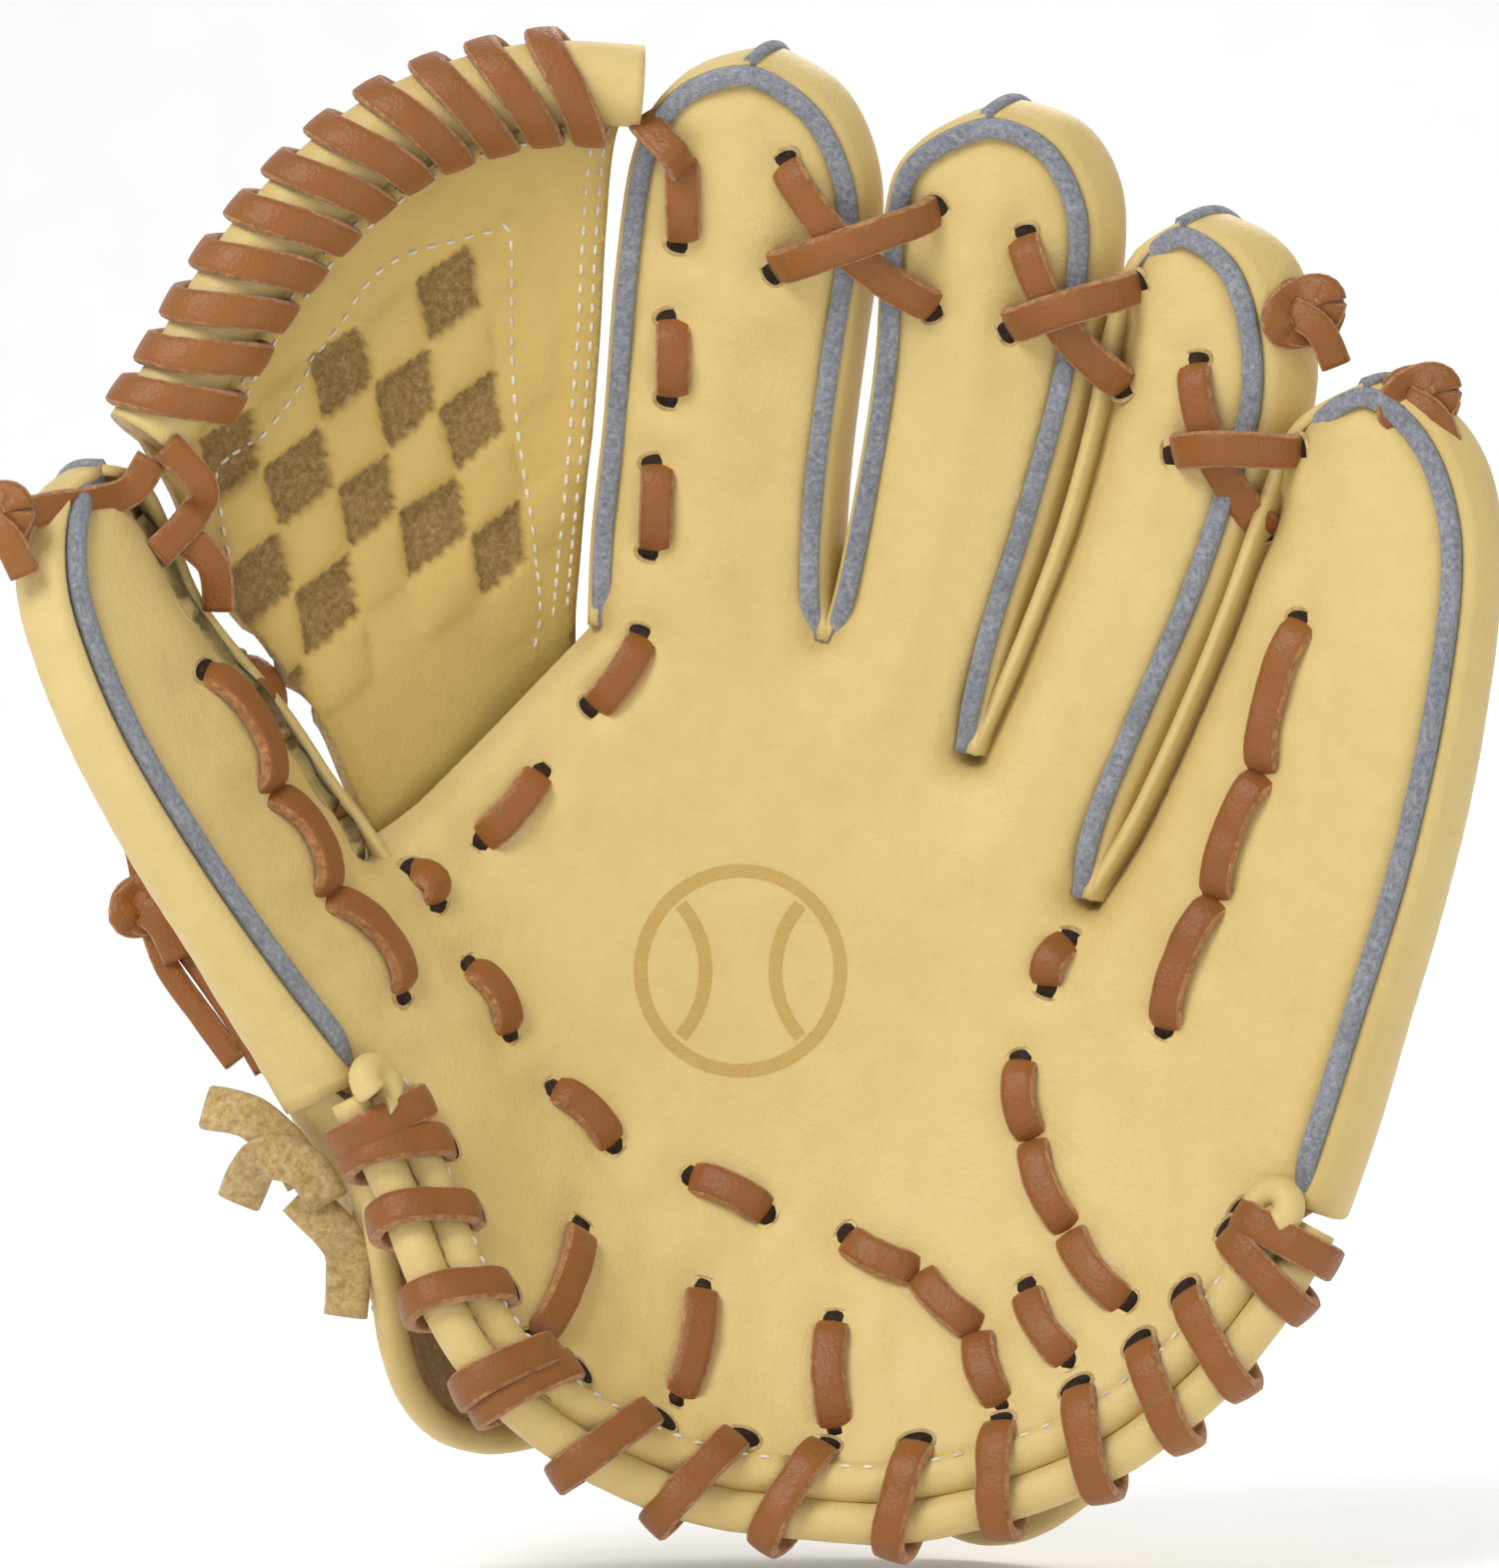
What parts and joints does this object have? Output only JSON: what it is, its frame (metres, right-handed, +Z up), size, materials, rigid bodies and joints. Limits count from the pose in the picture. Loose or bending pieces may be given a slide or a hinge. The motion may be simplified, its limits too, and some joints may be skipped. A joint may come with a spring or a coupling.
{
  "type": "baseball glove",
  "caption": "Fielding glove for the left hand with laced fingers, a folding thumb and little finger, a laced web that follows the thumb, and a wrist strap.",
  "frame": {"origin": "the middle of the bottom of the glove's bounding box, standing on its heel", "axes": "+Z up the fingers, -Y towards the catching side, -X towards the thumb"},
  "size_m": [0.2446, 0.0972, 0.2554],
  "materials": {
    "blonde_leather": "smooth blonde leather with fine grain",
    "lace_leather": "brown rawhide lace with suede edges",
    "welt_felt": "grey felt welting",
    "padding_felt": "undyed wool felt",
    "stiffener_plastic": "flexible plastic insert",
    "lining_leather": "soft lining leather"
  },
  "bodies": {
    "palm": {"palm_leather": "blonde_leather", "palm_pad": "padding_felt", "palm_lining": "lining_leather", "hand_back_panel": "blonde_leather", "index_back_thumb_side": "blonde_leather", "index_back_pinky_side": "blonde_leather", "index_seam_welt": "welt_felt", "index_welt": "welt_felt", "index_pad": "padding_felt", "index_lining": "lining_leather", "middle_back_thumb_side": "blonde_leather", "middle_back_pinky_side": "blonde_leather", "middle_seam_welt": "welt_felt", "middle_welt": "welt_felt", "middle_pad": "padding_felt", "middle_lining": "lining_leather", "ring_back_thumb_side": "blonde_leather", "ring_back_pinky_side": "blonde_leather", "ring_seam_welt": "welt_felt", "ring_welt": "welt_felt", "ring_pad": "padding_felt", "ring_lining": "lining_leather", "palm_heel_roll": "blonde_leather", "palm_lining_roll": "blonde_leather", "palm_heel_lace": "lace_leather", "palm_lace": "lace_leather", "index_web_lace": "lace_leather", "finger_cross_lace": "lace_leather"},
    "thumb": {"thumb_leather": "blonde_leather", "thumb_back_outer": "blonde_leather", "thumb_back_web_side": "blonde_leather", "thumb_seam_welt": "welt_felt", "thumb_welt": "welt_felt", "thumb_pad": "padding_felt", "thumb_stiffener": "stiffener_plastic", "thumb_lining": "lining_leather", "thumb_heel_roll": "blonde_leather", "thumb_lining_roll": "blonde_leather", "thumb_heel_lace": "lace_leather", "thumb_loop_lace": "lace_leather", "thumb_tip_lace": "lace_leather"},
    "pinky": {"pinky_leather": "blonde_leather", "pinky_back_thumb_side": "blonde_leather", "pinky_back_outer": "blonde_leather", "pinky_seam_welt": "welt_felt", "pinky_welt": "welt_felt", "pinky_pad": "padding_felt", "pinky_stiffener": "stiffener_plastic", "pinky_lining": "lining_leather", "pinky_heel_roll": "blonde_leather", "pinky_lining_roll": "blonde_leather", "pinky_heel_lace": "lace_leather", "pinky_loop_lace": "lace_leather"},
    "web": {"web_front_panel": "blonde_leather", "web_back_panel": "blonde_leather", "web_rim_roll": "blonde_leather", "web_rim_lace": "lace_leather"},
    "wrist_strap": {"wrist_strap": "blonde_leather"}
  },
  "joints": [
    {"name": "thumb_fold", "type": "hinge", "parent": "palm", "child": "thumb", "pos_m": [-0.02741, -0.02617, 0.02107], "axis": [-0.1266, 0.3058, 0.9436], "range_deg": [0, 15]},
    {"name": "web_fold", "type": "hinge", "parent": "palm", "child": "web", "pos_m": [-0.0287, 0.01288, 0.15598], "axis": [0.0824, -0.237, 0.968], "range_deg": [0, 9]},
    {"name": "pinky_fold", "type": "hinge", "parent": "palm", "child": "pinky", "pos_m": [0.0564, 0.00174, 0.10866], "axis": [-0.0152, -0.2501, -0.9681], "range_deg": [0, 20]},
    {"name": "wrist_strap_swing", "type": "hinge", "parent": "palm", "child": "wrist_strap", "pos_m": [0.04868, 0.04004, 0.05257], "axis": [0, 0, -1], "range_deg": [0, 25]}
  ],
  "couplings": [
    {"joint": "web_fold", "follows": "thumb_fold", "ratio": 0.6}
  ]
}
